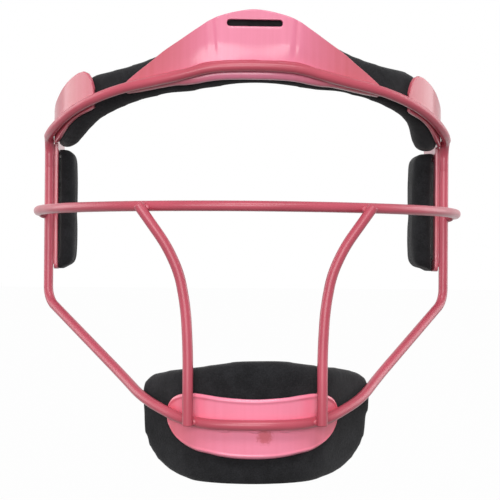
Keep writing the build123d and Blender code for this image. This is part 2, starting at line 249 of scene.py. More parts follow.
# %% Shader maths as sums
class Channel:
    """The output of a shader node, which can be added, subtracted and multiplied."""

    def __init__(self, nodes, socket):
        self.nodes = nodes
        self.socket = socket

    def maths(self, operation, first, second):
        return self.nodes.node("ShaderNodeMath", {"operation": operation}, {0: first, 1: second})

    def __add__(self, other):
        return self.maths("ADD", self, other)

    def __sub__(self, other):
        return self.maths("SUBTRACT", self, other)

    def __rsub__(self, other):
        return self.maths("SUBTRACT", other, self)

    def __mul__(self, other):
        return self.maths("MULTIPLY", self, other)

    __radd__, __rmul__ = __add__, __mul__


class NodeTree:
    """The nodes of a material or of the world, emptied and ready to be filled."""

    def __init__(self, owner):
        self.owner = owner
        owner.use_nodes = True
        self.tree = owner.node_tree
        self.tree.nodes.clear()

    def node(self, kind, settings={}, sockets={}, output=0):
        """Adds a node, sets it up, fills or links its sockets, and gives one of its outputs."""
        node = self.tree.nodes.new(kind)
        for name, value in settings.items():
            setattr(node, name, value)
        for name, value in sockets.items():
            if isinstance(value, Channel):
                self.tree.links.new(value.socket, node.inputs[name])
            else:
                node.inputs[name].default_value = value
        return Channel(self, node.outputs[output]) if node.outputs else None


class Finish(NodeTree):
    """A material that is being put together from nodes."""

    def __init__(self, name):
        super().__init__(bpy.data.materials.new(name))
        self.place = self.node("ShaderNodeTexCoord", output="Object")

    def noise(self, scale, detail=2.0, roughness=0.5, place=None):
        """Soft noise from 0 to 1 with about so many lumps to the metre."""
        sockets = {"Vector": place or self.place, "Scale": scale, "Detail": detail, "Roughness": roughness}
        return self.node("ShaderNodeTexNoise", {}, sockets)

    def spread(self, value, low, high):
        """Stretches the range from low to high over 0 to 1."""
        sockets = {"Value": value, "From Min": low, "From Max": high}
        return self.node("ShaderNodeMapRange", {"interpolation_type": "SMOOTHSTEP"}, sockets)

    def mix(self, share, first, second):
        """A colour between two colours."""
        sockets = {0: share, 6: first, 7: second}
        return self.node("ShaderNodeMix", {"data_type": "RGBA"}, sockets, 2)

    def bump(self, height, strength, depth, normal=None):
        """Tilts the surface's normal as if it rose and fell by the depth."""
        sockets = {"Height": height, "Strength": strength, "Distance": depth}
        if normal:
            sockets["Normal"] = normal
        return self.node("ShaderNodeBump", {}, sockets)

    def surface(self, **sockets):
        """Ends the material in one Principled shader, with spaces written as underscores."""
        named = {name.replace("_", " "): value for name, value in sockets.items()}
        shader = self.node("ShaderNodeBsdfPrincipled", {}, named)
        self.node("ShaderNodeOutputMaterial", {}, {"Surface": shader})
        return self.owner


# %% [markdown]
# Powder coat is paint baked on as dust. It runs together into a thick glossy skin that is a little wavy,
# like the skin of an orange, and it never lies quite even in colour. The waves are fine noise in a Bump
# node, the unevenness is broad noise between two pinks, and a clear coat over it gives the highlight. It is
# rougher on the wires, where a narrow highlight would break up into white specks. Light and shade are also
# painted into the colour. On the sheets the middle, which faces the front lamp, is painted lighter and the
# wings darker, with upright streaks of painted highlight. The wires and welds wear the same pink painted
# darker, for the shade on thin round wire, and the chin cup wears it painted lighter.


# %% The powder coat
# The wire and weld pinks are the sheets' paint painted darker, as painted shade for thin round wire.
wire_tones_painted_darker = (0.52, 0.08, 0.12, 1), (0.41, 0.056, 0.086, 1)
# The sheet's first pink is the painted light of its middle, and the second is the painted shade of its wings.
plate_lit_and_shaded_tones = (0.76, 0.21, 0.33, 1), (0.53, 0.1, 0.128, 1)
# The chin cup's pinks are the same paint painted lighter, as painted light, and they also carry the painted
# lit middle and shaded wings.
cup_tones_painted_lighter = (0.95, 0.27, 0.4, 1), (0.78, 0.13, 0.17, 1)
dark_spot_tone = (0.6, 0.085, 0.1, 1)
# A darker, mottled spot with a ragged edge on the chin cup, just below the middle of the wire.
dark_spot_place = (4.6 * millimetre, -96.5 * millimetre, -chin_depth - 5.6 * millimetre)
dark_spot_core, dark_spot_edge, dark_spot_ragged = 2.6 * millimetre, 5.2 * millimetre, 4 * millimetre
# Between these distances from the middle, the sheets' colour goes from the painted light of the middle to the
# painted shade of the wings.
painted_light_from, painted_light_to = 12 * millimetre, 50 * millimetre
peel_depth, lump_depth = 0.2 * millimetre, 0.5 * millimetre


def powder_coat(name, tones, gloss, ripple=0.0, painted_lit_middle=False, dark_spot=None):
    """Paint whose tone is noise, or painted light: lighter near the middle and darker with distance from it,
    plus upright streaks of painted highlight, all under a clear coat.

    Ripple adds weld lumps. Dark spot is the middle of one darker spot with a ragged edge.
    """
    coat = Finish(name)
    shade = coat.spread(coat.noise(38), 0.25, 0.75) * 0.6
    if painted_lit_middle:
        parts = coat.node("ShaderNodeSeparateXYZ", {}, {0: coat.place})
        aside = coat.node("ShaderNodeMath", {"operation": "ABSOLUTE"}, {0: parts})
        # Upright streaks of painted highlight.
        stretch = coat.node("ShaderNodeMapping", {}, {0: coat.place, 3: (420, 1, 12)})
        painted_streak_highlights = coat.noise(1, 2, 0.5, stretch)
        # Painted light: lighter near the middle and darker on the wings, plus the painted highlight streaks.
        shade = coat.spread(aside, painted_light_from, painted_light_to) * 0.85 + shade * 0.2 + (painted_streak_highlights - 0.5) * 0.35
    colour = coat.mix(shade, *tones)
    if dark_spot:
        away = coat.node("ShaderNodeVectorMath", {"operation": "DISTANCE"}, {0: coat.place, 1: dark_spot}, 1)
        ragged = away + (coat.noise(700, 3, 0.6) - 0.5) * dark_spot_ragged
        colour = coat.mix(0.7 - 0.7 * coat.spread(ragged, dark_spot_core, dark_spot_edge), colour, dark_spot_tone)
    skin = coat.bump(coat.noise(300, 0), 0.05, peel_depth)
    if ripple:
        skin = coat.bump(coat.noise(420, 2, 0.6), ripple, lump_depth, skin)
    return coat.surface(
        Base_Color=colour,
        Roughness=0.3 + 0.1 * coat.noise(200, 2),
        Specular_IOR_Level=0.25,
        Coat_Weight=0.3 + 0.4 * gloss,
        Coat_Roughness=0.34 - 0.2 * gloss,
        Normal=skin,
    )


# The wire and weld coats are the same paint painted darker, as painted shade.
cage_coat_painted_darker = powder_coat("pink_powder_coat_on_wire_painted_darker", wire_tones_painted_darker, 0.25)
plate_coat_with_painted_light = powder_coat("pink_powder_coat_on_sheet_with_painted_light", plate_lit_and_shaded_tones, 0.8, painted_lit_middle=True)
# The chin cup's coat is the same paint painted lighter, as painted light.
cup_coat_painted_lighter = powder_coat("pink_powder_coat_on_cup_painted_lighter", cup_tones_painted_lighter, 0.8, painted_lit_middle=True, dark_spot=dark_spot_place)
weld_coat_painted_darker = powder_coat("pink_powder_coat_on_weld_painted_darker", wire_tones_painted_darker, 0.25, ripple=0.12)
print("coats", cage_coat_painted_darker.name, plate_coat_with_painted_light.name, cup_coat_painted_lighter.name, weld_coat_painted_darker.name)

# %% [markdown]
# The pads wear brushed loop cloth, so that they cling to hook patches. Its fibres stand up and scatter
# light, which is what sheen does in the shader: the cloth looks soft and a little grey at its edges. The
# fibres are finer than a pixel, so noise at two scales in the bump and in the colour stands for them.


# %% The cloth and the hook tape
cloth_tones = (0.0075, 0.0075, 0.0085, 1), (0.022, 0.022, 0.0245, 1)
lint_tone = (0.09, 0.09, 0.095, 1)
tape_tones = (0.006, 0.006, 0.006, 1), (0.028, 0.028, 0.03, 1)
nap_depth, fuzz_depth, hook_depth = 0.8 * millimetre, 0.35 * millimetre, 0.4 * millimetre


def brushed_cloth():
    """Near-black loop cloth: a tone and a relief from fine fuzz and broader nap, with a few lint specks."""
    cloth = Finish("black_brushed_loop_cloth")
    fuzz = cloth.noise(1500, 4, 0.7)
    nap = cloth.noise(140, 3, 0.6)
    lint = cloth.spread(cloth.noise(900, 2), 0.72, 0.8)
    tone = cloth.spread(fuzz * 0.6 + nap * 0.4, 0.35, 0.68)
    colour = cloth.mix(lint * 0.25, cloth.mix(tone, *cloth_tones), lint_tone)
    relief = cloth.bump(nap, 0.25, nap_depth)
    return cloth.surface(
        Base_Color=colour,
        Roughness=0.94,
        Sheen_Weight=0.12,
        Sheen_Roughness=0.45,
        Specular_IOR_Level=0.2,
        Normal=cloth.bump(fuzz, 0.5, fuzz_depth, relief),
    )


def hook_tape():
    """Black tape with a field of tiny stiff hooks, as round bumps."""
    tape = Finish("black_hook_tape")
    cells = tape.node("ShaderNodeTexVoronoi", {}, {"Vector": tape.place, "Scale": 900})
    hooks = 1 - tape.spread(cells, 0.1, 0.55)
    return tape.surface(
        Base_Color=tape.mix(hooks, *tape_tones),
        Roughness=0.6,
        Normal=tape.bump(hooks, 0.8, hook_depth),
    )


pad_cloth = brushed_cloth()
patch_tape = hook_tape()
for name in ("brow", "right_side", "left_side", "chin"):
    wear(nodes[name + "_hook_patch"], patch_tape)
for name in ("eye_bar_welds", "side_plate_welds"):
    wear(nodes[name], weld_coat_painted_darker)
print("cloth", pad_cloth.name, "and tape", patch_tape.name)

# %% [markdown]
# The cage wire is drawn steel rod, bent cold round pegs. Between two bends it is straight, and each bend is
# an arc, so a wire is a list of corners with a radius at each. The tube is then a circle carried along that
# path without twisting. A curve with a round bevel could make the same run. Circles of points are used
# because a cut end is flat with a soft rim of coat, which takes only a few more circles, each smaller.


# %% The cage wires
def bent_path(corners, end_bend=0, steps=14):
    """Straight runs joined by arcs, each as large as its two runs allow. End_bend sets the two end arcs.

    An arc of radius r that turns by an angle takes r times the tangent of half the angle from each run.
    """
    corners = np.array(corners, float)
    run = corners[1:] - corners[:-1]
    length = np.linalg.norm(run, axis=1)
    way = run / length[:, None]
    turn = np.arccos(np.clip((way[:-1] * way[1:]).sum(1), -1, 1))
    taken = np.zeros(len(corners))
    taken[[1, -2]] = end_bend * np.tan(turn[[0, -1]] / 2)
    path = [corners[:1]]
    for i in range(1, len(corners) - 1):
        room = 0.45 * min(length[i - 1] - taken[i - 1], length[i] - taken[i + 1])
        reach = taken[i] or room
        radius = reach / np.tan(turn[i - 1] / 2)
        a = np.linspace(0, turn[i - 1], steps)[:, None]
        side = unit(way[i] - way[i - 1] * np.cos(turn[i - 1]))
        start = corners[i] - way[i - 1] * reach
        path.append(start + way[i - 1] * radius * np.sin(a) + side * radius * (1 - np.cos(a)))
    path.append(corners[-1:])
    return np.concatenate(path)


def tube(name, path, rim, sides=28):
    """A circle carried along a path, turned just enough to stay square to it. Rim rounds its cut ends."""
    way = unit(np.gradient(path, axis=0))
    way[0], way[-1] = unit(path[1] - path[0]), unit(path[-1] - path[-2])
    rim_steps = 6
    a = np.linspace(0, np.pi / 2, rim_steps)
    inset, shrink = rim * (1 - np.sin(a)), rim * (1 - np.cos(a))
    head = path[0] + way[0] * inset[::-1, None]
    foot = path[-1] - way[-1] * inset[:, None]
    ends = wire_radius - shrink
    radius = np.concatenate([ends[::-1], np.full(len(path) - 2, wire_radius), ends])
    path = np.concatenate([head, path[1:-1], foot])
    way = np.concatenate([np.tile(way[0], (rim_steps, 1)), way[1:-1], np.tile(way[-1], (rim_steps, 1))])
    first = np.array([0.0, 1.0, 0.0]) if abs(way[0][1]) < 0.7 else np.array([0.0, 0.0, 1.0])
    side = [unit(first - way[0] * (first @ way[0]))]
    for direction in way[1:]:
        side.append(unit(side[-1] - direction * (side[-1] @ direction)))
    side = np.array(side)
    other = np.cross(way, side)
    t = np.linspace(0, 2 * np.pi, sides, endpoint=False)
    ring = side[:, None, :] * np.cos(t)[:, None] + other[:, None, :] * np.sin(t)[:, None]
    spot = path[:, None, :] + ring * radius[:, None, None]
    return closed_piece(name, spot)


def both_halves(half):
    """A route over the middle: the right half, then its mirror image back to the left end."""
    return np.concatenate([half, half[::-1] * [-1, 1, 1]])


butt_rim, eye_rim, upright_rim = 0.1 * millimetre, 1.3 * millimetre, 0.5 * millimetre
butt_drop = 14 * millimetre
lap_gap = 0.1 * millimetre
lap_step = 2 * wire_radius + lap_gap
brow_bend = 9 * millimetre
jaw_bend = 11 * millimetre
brow_angles = np.array([83.5, 76, 68, 60, 52, 44, 36, 28, 20, 12, 4])
brow_corner_shares = np.array([0.047, 0.108, 0.217, 0.36, 0.49, 0.603, 0.70, 0.77, 0.854, 0.976, 1.0])
brow_corners = brow_curve(np.radians(brow_angles))[0] / np.cos(np.radians(brow_angles[-1]))
brow_corners[:, 2] = corner_height + (brow_height - corner_height) * brow_corner_shares
temple = np.array([[half_width, 0, corner_height - butt_drop], [half_width, 0, corner_height]])
brow_route = both_halves(np.concatenate([temple, brow_corners]))
brow_rod = tube("brow_rod", bent_path(brow_route, brow_bend), butt_rim)

landing_angle = 60
jaw_turn_shares = [0.794, 0.733, 0.796]
jaw_corner = np.array([half_width, 0, -jaw_depth])
landing = chin_curve(np.radians([landing_angle]))[0][0] + [0, 0, chin_level(np.array([landing_angle]))[0]]
jaw_turn = jaw_corner + (landing - jaw_corner) * jaw_turn_shares
chin_step = 14.5
chin_stretch = 1 / np.cos(np.radians(chin_step) / 2)
chin_angles = np.radians([36.5, 22, 7.5])
chin_corners = np.stack([
    chin_radius * chin_stretch * np.sin(chin_angles),
    chin_radius - chin_reach - chin_radius * chin_stretch * np.cos(chin_angles),
    -chin_depth + (chin_depth - jaw_depth) * np.array([0.035, 0, 0]),
], -1)
jaw_route = both_halves(np.concatenate([[temple[0], jaw_corner, jaw_turn, landing], chin_corners]))
jaw_rod = tube("jaw_rod", bent_path(jaw_route, jaw_bend), butt_rim)

eye_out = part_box("eye_bar")[1].x - wire_radius
eye_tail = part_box("eye_bar")[1].y
eye_reach = 97.6 * millimetre
eye_angles = np.radians([77, 63, 49, 35, 21, 7])
eye_corners = np.stack([
    eye_out * np.sin(eye_angles), -eye_reach * np.cos(eye_angles) / np.cos(eye_angles[-1]), 0 * eye_angles,
], -1)
eye_route = both_halves(np.concatenate([[[eye_out, eye_tail, 0], [eye_out, -eye_tail, 0]], eye_corners]))
eye_rod = tube("eye_rod", bent_path(eye_route), eye_rim)


def lap_place(start, end, across):
    """Where a wire laps another in front: the middle of the run, moved forward by one wire."""
    forward = unit(np.cross(end - start, across))
    return (start + end) / 2 - forward * np.sign(forward[1]) * lap_step


swing_shares = np.array([1.0, 0.46, 0.19, 0.056, 0.004, 0.0])
drop_shares = np.array([0.0, 0.173, 0.306, 0.47, 0.67, 1.0])
upright_foot = 30.1 * millimetre
slant = np.array([(half_width / 2 - upright_foot) * 0.52, 0, chin_depth * drop_shares[1]])
head = lap_place(eye_corners[3], eye_corners[4], slant)
foot = lap_place(chin_corners[0], chin_corners[1], np.array([0, 0, 1.0]))
upright_route = np.stack([
    foot[0] + (head[0] - foot[0]) * swing_shares,
    head[1] + (foot[1] - head[1]) * drop_shares,
    head[2] + (foot[2] - head[2]) * drop_shares,
], -1)
upright_route[0] += unit(upright_route[0] - upright_route[1]) * wire_radius
upright_route[-1, 2] -= 0.7 * wire_radius
right_rod = tube("right_upright_rod", bent_path(upright_route), upright_rim)
left_rod = mirrored(right_rod, "left_upright_rod")
rods = {"brow_wire": brow_rod, "jaw_wire": jaw_rod, "eye_bar": eye_rod, "right_upright": right_rod}
for replaced, rod in {**rods, "left_upright": left_rod}.items():
    settle(rod, "cage", "cage", cage_coat_painted_darker, replaced)

# %% [markdown]
# A pressed sheet has a front, a back and an edge that the coat rounds off. Seen end on, its section is a
# long loop. This function lays such loops side by side. Each loop is cut in two along a line across the
# sheet, and where there is a slot the two halves are pushed apart and closed with a wall. Where there is
# none they meet, and merging the doubled points heals the cut. No boolean is needed, so the edges of the
# slot stay clean.


# %% Sheet sections with an optional slot
def sheet_sections(low, high, split, gap, edge, face_steps, corner_steps=4):
    """Loops round a sheet's section at each column.

    Along each loop, across is the place between the low and the high edge, and inset the depth from the
    front. A face's rows are spaced evenly from the slot line to where the edge's quarter round begins.
    """
    turn = np.linspace(0, np.pi / 2, corner_steps + 1)
    face = np.linspace(0, 1, face_steps + 1)
    loops = []
    for outer, sign in ((low, -1), (high, 1)):
        reach = np.abs(outer - split) - gap
        rim = np.minimum(edge, 0.4 * reach)[:, None]
        lip = np.minimum(edge, 0.5 * gap)[:, None]
        start = (gap[:, None] + lip) + 0 * face
        run = start + (reach[:, None] - rim - lip) * face
        last = (gap + reach)[:, None] - rim
        rows = [
            (run, 0 * run),
            (last + rim * np.sin(turn), rim * (1 - np.cos(turn))),
            (last + rim * np.cos(turn), sheet_thickness - rim * (1 - np.sin(turn))),
            (run[:, ::-1], sheet_thickness + 0 * run),
            (gap[:, None] + lip * (1 - np.sin(turn)), sheet_thickness - lip * (1 - np.cos(turn))),
            (gap[:, None] + lip * (1 - np.cos(turn)), lip * (1 - np.sin(turn))),
        ]
        across = split[:, None] + sign * np.concatenate([row[0] for row in rows], 1)
        inset = np.concatenate([row[1] for row in rows], 1)
        loops.append((across, inset))
    wall = 2 * (face_steps + 1) + 2 * (corner_steps + 1)
    return loops, wall


def sheet_piece(name, place, low, high, split, gap, edge, face_steps=16):
    """A whole sheet. Place turns columns, across and inset into points in space."""
    loops, wall = sheet_sections(low, high, split, gap, edge, face_steps)
    points, faces, caps = [], [], []
    for across, inset in loops:
        columns, rows = across.shape
        offset = sum(p.shape[0] for p in points)
        cells = grid_faces(columns, rows).reshape(columns - 1, rows, 4) + offset
        open_slot = np.maximum(gap[:-1], gap[1:]) > 0
        keep = open_slot[:, None] | (np.arange(rows) < wall - 1)[None, :]
        faces.append(cells[keep])
        points.append(place(across, inset).reshape(-1, 3))
        for column in (0, columns - 1):
            caps.append(offset + column * rows + np.arange(wall))
    return make_piece(name, np.concatenate(points), np.concatenate(faces), caps)


# %% [markdown]
# The brow plate is the guard's widest plate. Its middle is pressed flat and a little proud, with a soft
# crease down each side, and its wings bend back to the temples. One slot takes the head strap. Its foot
# stands just below the wire as a thin lip that curls back. Sculpting could shape all this, but sums of
# smooth steps keep both sides alike and follow the measured sizes.

# %% The brow plate
brow_plate_shares = [
    (0, 1, 1), (4.7, 0.965, 1), (9.5, 0.896, 1), (12, 0.85, 1), (15, 0.78, 0.95),
    (18, 0.718, 0.82), (22, 0.62, 0.6), (26, 0.51, 0.53), (30, 0.37, 0.5), (34, 0.24, 0.47),
    (37.5, 0.125, 0.37),
]
brow_lean = np.radians(9)
brow_plate_rise = 28 * millimetre
brow_plate_skirt = 5.7 * millimetre
slot_half_length = 27.5 / 2 * millimetre
slot_radius = 1.6 * millimetre
slot_margin = 6.7 * millimetre
coat_round = 0.55 * millimetre
panel_foot = 17.6 * millimetre
panel_head = 20.6 * millimetre
panel_proud = 0.45 * millimetre
panel_fade = 10 * millimetre
crease_width = 2.2 * millimetre
flat_fade = 9 * crease_width
lip_curl = 1.9 * millimetre
lip_depth = 2.3 * millimetre
curl_share = 0.92


def slot_gap(x):
    """Half the slot's height at each x: a straight middle and round ends, and 0 outside it."""
    beyond = np.maximum(np.abs(x) - (slot_half_length - slot_radius), 0)
    return np.sqrt(np.maximum(slot_radius**2 - beyond**2, 0))


def panel_relief(x, rise):
    """How far the pressed panel stands proud: flat across, with a rounded groove at each crease."""
    half = panel_foot + (panel_head - panel_foot) * np.clip(rise / brow_plate_rise, 0, 1)
    past = (np.abs(x) - half) / crease_width
    bow = np.minimum(x**2, half**2) * brow_reach / (2 * half_width**2)
    flat = bow * (1 - ease((np.abs(x) - half) / flat_fade))
    groove = 0.55 * np.exp(-((past - 0.2) ** 2) * 2.2) - 0.3 * np.exp(-((past - 1.5) ** 2) * 2.2)
    proud = panel_proud * (1 - ease(past + 0.5) - groove) + flat
    return proud * ease((rise - wire_radius) / panel_fade)


def curl_back(height, edge_height, depth, amount):
    """How far an edge curls back: most of a quarter circle over the last stretch before the edge."""
    t = np.clip(1 - np.abs(height - edge_height) / depth, 0, 1)
    return amount * (1 - np.sqrt(1 - (curl_share * t) ** 2)) / (1 - np.sqrt(1 - curl_share**2))


slot_ends = slot_half_length - slot_radius * (1 - np.cos(np.linspace(0, np.pi / 2, 9)))


def make_brow_plate():
    """A band along the wire: it reaches a share of the skirt below it and a share of the rise above it."""
    even = half_width * np.sin(np.radians(np.linspace(0, brow_plate_shares[-1][0], 116)))
    x = np.unique(np.round(np.concatenate([even, slot_ends]), 7))
    x = np.concatenate([-x[:0:-1], x])
    angle = np.arcsin(x / half_width)
    degrees = np.degrees(angle)
    rise, skirt = smooth_through(degrees, brow_plate_shares)
    level = brow_level(degrees)
    low, high = level - brow_plate_skirt * skirt, level + brow_plate_rise * rise
    slot_height = brow_height + brow_plate_rise - slot_margin
    share = np.clip((slot_height - low) / (high - low), 0, 0.9)
    split = low + (high - low) * share

    def place(across, inset):
        lift = across - level[:, None]
        depth = plate_front + inset + lift * np.tan(brow_lean) * np.cos(angle)[:, None]
        depth = depth - panel_relief(x[:, None], lift)
        depth = depth + curl_back(across, low[:, None], lip_depth, lip_curl)
        return beside(brow_curve, angle, depth, across)

    return sheet_piece("brow_panel", place, low, high, split, slot_gap(x), coat_round)


brow_panel = make_brow_plate()
settle(brow_panel, "cage", "plate", plate_coat_with_painted_light, "brow_plate")

# %% [markdown]
# Each side plate is one pressing: an arm that follows the brow wire round the temple, with a round tab
# above the wire, and a flat leg that stands beside the cheek with a strap slot near its back edge. The arm
# runs a few millimetres into the leg, a hair thinner, so the two read as one sheet. One flat outline could
# be bent at the corner instead, but two plain grids are easier to follow.

# %% The side plates
arm_shares = [
    (50.6, 0.35, 0.62), (51.2, 0.51, 0.68), (52, 0.66, 0.71), (53.5, 0.82, 0.69), (55.5, 0.93, 0.64),
    (58.5, 0.985, 0.56), (62, 1, 0.54), (66, 1, 0.6), (70, 0.97, 0.82), (74, 0.91, 1),
    (80, 0.83, 0.95), (85, 0.73, 0.71), (90, 0.632, 0.45),
]
tab_rise = 19 * millimetre
arm_skirt = 4.5 * millimetre
arm_overlap = 5 * millimetre
leg_width = 36 * millimetre
leg_length = 78.5 * millimetre
leg_below_eye = 29.5 * millimetre
leg_top_slope = 11 * millimetre
leg_heel = 22 * millimetre
leg_corner = 9 * millimetre
leg_toe = 2.5 * millimetre
leg_tip = 3 * millimetre
leg_slot_margin = 6 * millimetre
corner_blend = 700
least_width = 0.2 * millimetre
hair = 0.06 * millimetre
leg_top = leg_length - leg_below_eye


def make_arm():
    """A band round the temple, its edges a share of the skirt below the wire and of the tab's rise above."""
    rows = np.array(arm_shares)
    first, last = rows[0, 0], rows[-1, 0]
    columns, more = 90, 6
    degrees = first + (last - first) * np.linspace(0, 1, columns) ** 1.3
    stations = np.concatenate([degrees, np.full(more, last)])
    back = np.concatenate([np.zeros(columns), np.linspace(0, 1, more + 1)[1:] * arm_overlap])
    angle = np.radians(stations)
    rise = np.interp(stations, rows[:, 0], rows[:, 1])
    skirt = np.interp(stations, rows[:, 0], rows[:, 2])
    level = brow_level(stations)
    low, high = level - arm_skirt * skirt, level + tab_rise * rise
    split = (low + high) / 2

    def place(across, inset):
        shrink = ease(back / arm_overlap)[:, None] * hair * np.sign(0.5 - inset / sheet_thickness)
        spot = beside(brow_curve, angle, plate_front + inset + shrink, across)
        spot[..., 1] += back[:, None]
        return spot

    return sheet_piece("arm", place, low, high, split, 0 * split, coat_round)


def leg_back_edge(z):
    """How far back the leg reaches at each height: the sloped top, the straight back and the cut heel."""
    sloped = leg_width * (leg_top - z) / leg_top_slope
    heel = leg_width - leg_heel + (z + leg_below_eye)
    reaches = (sloped, leg_width, heel)
    return -np.log(sum(np.exp(-corner_blend * reach) for reach in reaches)) / corner_blend


def make_leg():
    """A flat sheet in upright columns, between the straight edge at the wire and the back edge."""
    quarter = 1 - np.cos(np.linspace(0, np.pi / 2, 12))
    foot_rows = -leg_below_eye + leg_toe * quarter
    head_rows = leg_top - leg_tip * quarter
    even = np.linspace(-leg_below_eye + leg_toe, leg_top - leg_tip, 90)
    z = np.unique(np.round(np.concatenate([foot_rows, even, head_rows, slot_ends, -slot_ends]), 7))
    toe = np.clip(1 - (z + leg_below_eye) / leg_toe, 0, 1)
    low = leg_toe * (1 - np.sqrt(1 - toe**2))
    heel = np.clip(1 - (z + leg_below_eye) / (0.5 * leg_corner), 0, 1)
    high = np.maximum(leg_back_edge(z), least_width) - 0.4 * leg_corner * (1 - np.sqrt(1 - heel**2))
    high = np.maximum(high, low + least_width)
    slot_place = leg_width - leg_slot_margin
    gap = np.where(np.abs(z) < slot_half_length, slot_gap(z), 0)
    split = np.where(high > slot_place + 2 * slot_radius, slot_place, low + 0.6 * (high - low))

    def place(across, inset):
        return np.stack([half_width - plate_front - inset, across, z[:, None] + 0 * across], -1)

    return sheet_piece("leg", place, low, high, split, gap, coat_round)


def join(name, *pieces):
    """Puts several meshes into one object."""
    work = bmesh.new()
    for piece in pieces:
        work.from_mesh(piece.data)
        bpy.data.objects.remove(piece)
    mesh = bpy.data.meshes.new(name)
    work.to_mesh(mesh)
    work.free()
    return shown(name, mesh)


def make_gap_fill():
    """The coat that has run into the narrow gap between the side wire and the leg: a long oval strip."""
    inner, behind, stop = 0.05 * millimetre, 0.9 * millimetre, 2 * millimetre
    thick, wide = 0.45 * millimetre, 0.7 * millimetre
    z = np.linspace(-leg_below_eye + leg_toe, corner_height - stop, 40)
    turn = np.linspace(0, 2 * np.pi, 12, endpoint=False)
    x = half_width - wire_radius - inner + thick * np.cos(turn)
    y = behind + wide * np.sin(turn)
    spot = np.stack([x + 0 * z[:, None], y + 0 * z[:, None], z[:, None] + 0 * turn], -1)
    return closed_piece("gap_fill", spot)


right_panel = join("right_side_panel", make_arm(), make_leg(), make_gap_fill())
left_panel = mirrored(right_panel, "left_side_panel")
settle(right_panel, "cage", "plate", plate_coat_with_painted_light, "right_side_plate")
settle(left_panel, "cage", "plate", plate_coat_with_painted_light, "left_side_plate")

# %% [markdown]
# The chin plate is a dished oval, widest at the wire. Its ends are rounded by shrinking the height of each
# column with a superellipse, so the oval is still one plain grid. A low rim runs round it just inside the
# edge, and its lower edge curls back, which catches a thin line of light. Three drops of weld metal tack it
# to the wire.

# %% The chin plate
chin_plate_shares = [
    (0, 0.83, 1), (8, 0.85, 0.99), (16, 0.89, 0.95), (24, 0.96, 0.88), (30, 1, 0.84),
    (36, 1, 0.76), (42, 0.98, 0.68), (46, 0.95, 0.62),
]
chin_lean = np.radians(-7)
chin_plate_rise = 13.7 * millimetre
chin_plate_skirt = 16.0 * millimetre
chin_plate_aside = -0.5 * millimetre
chin_plate_end = 46.6
chin_bow = 1.5 * millimetre
chin_curl, chin_curl_depth = 1.2 * millimetre, 3.2 * millimetre
chin_rim, rim_inset, rim_width = 0.5 * millimetre, 1.3 * millimetre, 0.7 * millimetre


def make_chin_plate():
    """Each column's height is scaled by (1 - |angle / end|^7)^(1 / 2.4), a superellipse."""
    degrees = chin_plate_end * np.sin(np.linspace(-np.pi / 2, np.pi / 2, 181))
    degrees = np.clip(degrees, -0.9995 * chin_plate_end, 0.9995 * chin_plate_end)
    angle = np.radians(degrees) + chin_plate_aside / chin_radius
    rise, skirt = smooth_through(degrees, chin_plate_shares)
    end = (1 - np.abs(degrees / chin_plate_end) ** 7) ** (1 / 2.4)
    middle = -chin_depth + chin_bow * (degrees / chin_plate_end) ** 2
    low = middle - (chin_plate_skirt * skirt + middle + chin_depth) * end
    high = middle + (chin_plate_rise * rise - middle - chin_depth) * end
    split = (low + high) / 2
    level = chin_level(degrees)

    def place(across, inset):
        depth = plate_front + inset + (across - level[:, None]) * np.tan(chin_lean)
        depth = depth + curl_back(across, low[:, None], chin_curl_depth, chin_curl)
        from_edge = np.minimum(across - low[:, None], high[:, None] - across)
        depth = depth - chin_rim * np.exp(-((from_edge - rim_inset) / rim_width) ** 2)
        return beside(chin_curve, angle, depth, across)

    return sheet_piece("chin_panel", place, low, high, split, 0 * split, coat_round, 40)


chin_panel = make_chin_plate()
settle(chin_panel, "cage", "plate", cup_coat_painted_lighter, "chin_plate")


def make_bead(name, places, size):
    """Drops of weld metal: balls (cos v, sin v cos u, sin v sin u) times a size, turned along the wire."""
    rings, sides, pole = 13, 24, 0.02
    u, v = np.linspace(0, 2 * np.pi, sides, endpoint=False), np.linspace(pole, np.pi - pole, rings)[:, None]
    ball = np.stack([np.cos(v) + 0 * u, np.sin(v) * np.cos(u), np.sin(v) * np.sin(u)], -1) * size
    points, faces = [], []
    for centre, turn in places:
        spin = np.array([[np.cos(turn), -np.sin(turn), 0], [np.sin(turn), np.cos(turn), 0], [0, 0, 1]])
        faces.append(grid_faces(rings, sides) + rings * sides * len(points))
        points.append(ball @ spin.T + centre)
    return make_piece(name, np.concatenate(points), np.concatenate(faces))


tack_size = np.array([3.4, 1.0, 1.2]) * millimetre
lap_size = np.array([3.3, 1.2, 1.9]) * millimetre
weld_bite = 0.3 * millimetre
tack_places = []
for degrees in (-14.75, 0.0, 14.75):
    point, inward = chin_curve(np.radians([degrees]))
    seat = point[0] + inward[0] * (plate_front - weld_bite)
    seat[2] = -chin_depth - 1.05 * wire_radius
    tack_places.append((seat, np.radians(degrees)))
chin_beads = make_bead("chin_beads", tack_places, tack_size)
# The tacks wear the chin cup's coat, painted lighter, so that they look less dark in the shade by the wire.
settle(chin_beads, "cage", "weld", cup_coat_painted_lighter, "chin_plate_welds")

lap_places = []
for side in (1, -1):
    for wire, lapped in ((eye_corners[3:5], head), (chin_corners[:2], foot)):
        seat = (wire.mean(0) + lapped) / 2
        run = (wire[0] - wire[1]) * [side, 1, 1]
        lap_places.append((seat * [side, 1, 1], np.arctan2(run[1], run[0])))
lap_beads = make_bead("lap_beads", lap_places, lap_size)
settle(lap_beads, "cage", "weld", weld_coat_painted_darker, "upright_welds")

# %% [markdown]
# A long weld joins the brow wire to its plate, and the coat flows over it, so the wire seems to grow out
# of the sheet. It is a fillet: a hollow curve from the top of the wire up to the sheet. Its upper line
# wanders by a few tenths of a millimetre, as a weld made by hand does.


